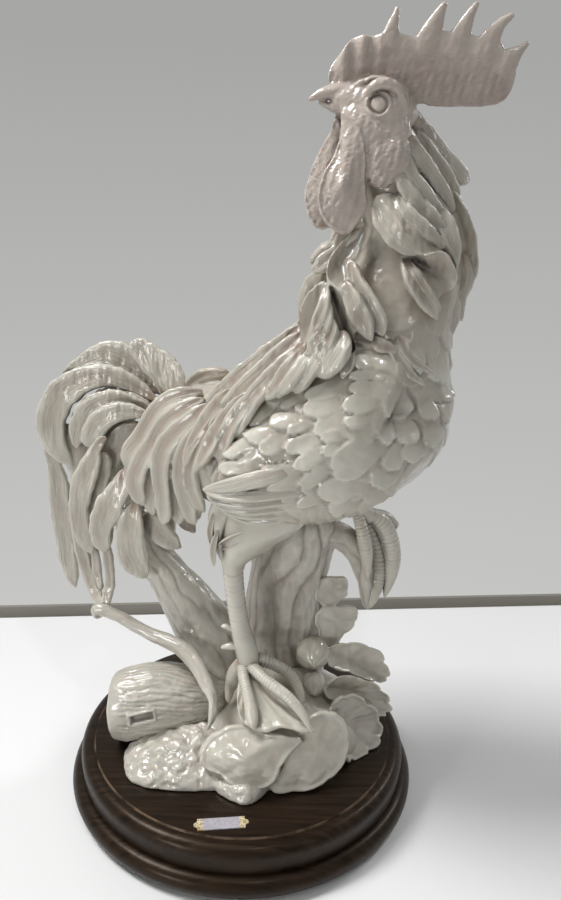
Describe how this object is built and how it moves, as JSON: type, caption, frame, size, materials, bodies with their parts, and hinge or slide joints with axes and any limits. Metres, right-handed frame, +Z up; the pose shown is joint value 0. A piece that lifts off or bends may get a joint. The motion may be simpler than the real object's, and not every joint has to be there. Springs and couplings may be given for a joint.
{
  "type": "rooster figurine",
  "caption": "Glazed white cockerel standing on a leafy rockery with a tree stump, bolted on a round turned wooden plinth.",
  "frame": {"origin": "centre of the felt disc's underside, where the plinth rests on a table", "axes": "+Z up; +X to the viewer's right, towards the breast; +Y away from the viewer"},
  "size_m": [0.2369, 0.195, 0.409],
  "materials": {
    "white_glaze": "glossy off-white glaze, warm and faintly translucent",
    "blush_glaze": "glossy blush glaze over a fine pebbled skin",
    "rough_glaze": "thin glaze over bark, log and rock texture",
    "walnut": "dark stained and lacquered turned wood",
    "felt": "green pressed felt",
    "steel": "zinc-plated steel",
    "gilt_plate": "thin gilt plate with a pale bare field"
  },
  "bodies": {
    "root": {"wooden_plinth": "walnut", "felt_disc": "felt", "bolt_washer": "steel", "fixing_bolt": "steel", "name_plate": "gilt_plate", "rock_mound": "rough_glaze", "cut_log": "rough_glaze", "front_rock": "rough_glaze", "tree_stump": "rough_glaze", "leaning_branch": "rough_glaze", "stump_limb": "rough_glaze", "tail_twig": "rough_glaze", "body": "white_glaze", "neck": "white_glaze", "head": "white_glaze", "comb": "blush_glaze", "wattle_right": "blush_glaze", "wattle_left": "blush_glaze", "standing_thigh": "white_glaze", "standing_leg": "white_glaze", "raised_leg": "white_glaze", "wing_right": "white_glaze", "wing_left": "white_glaze", "saddle_feathers_upper": "white_glaze", "saddle_feather_middle": "white_glaze", "saddle_feather_long": "white_glaze", "saddle_feather_inner": "white_glaze", "saddle_feather_front": "white_glaze", "saddle_feathers_left": "white_glaze", "tail_sickle_outer": "white_glaze", "tail_sickle_second": "white_glaze", "tail_sickle_third": "white_glaze", "tail_sickle_light": "white_glaze", "tail_covert_inner": "white_glaze", "tail_covert_broad": "white_glaze", "tail_covert_low": "white_glaze", "tail_covert_pointed": "white_glaze", "tail_crest_feathers": "white_glaze", "tail_plume_far": "white_glaze", "tail_plume_long": "white_glaze", "tail_sickles_left": "white_glaze", "tail_coverts_left": "white_glaze", "cape_feathers_right": "white_glaze", "cape_feathers_outer": "white_glaze", "cape_feathers_left": "white_glaze", "mantle_feathers": "white_glaze", "cheek_feathers": "white_glaze", "throat_petals": "white_glaze", "nape_feathers": "white_glaze", "nape_feathers_left": "white_glaze", "leaf_under_foot": "white_glaze", "leaf_front_left": "white_glaze", "leaf_front_right": "white_glaze", "leaf_right_low": "white_glaze", "leaf_right_middle": "white_glaze", "leaf_right_upper": "white_glaze", "leaf_stump_low": "white_glaze", "leaf_stump_high": "white_glaze", "bud_large": "white_glaze", "bud_small": "white_glaze"}
  },
  "joints": []
}
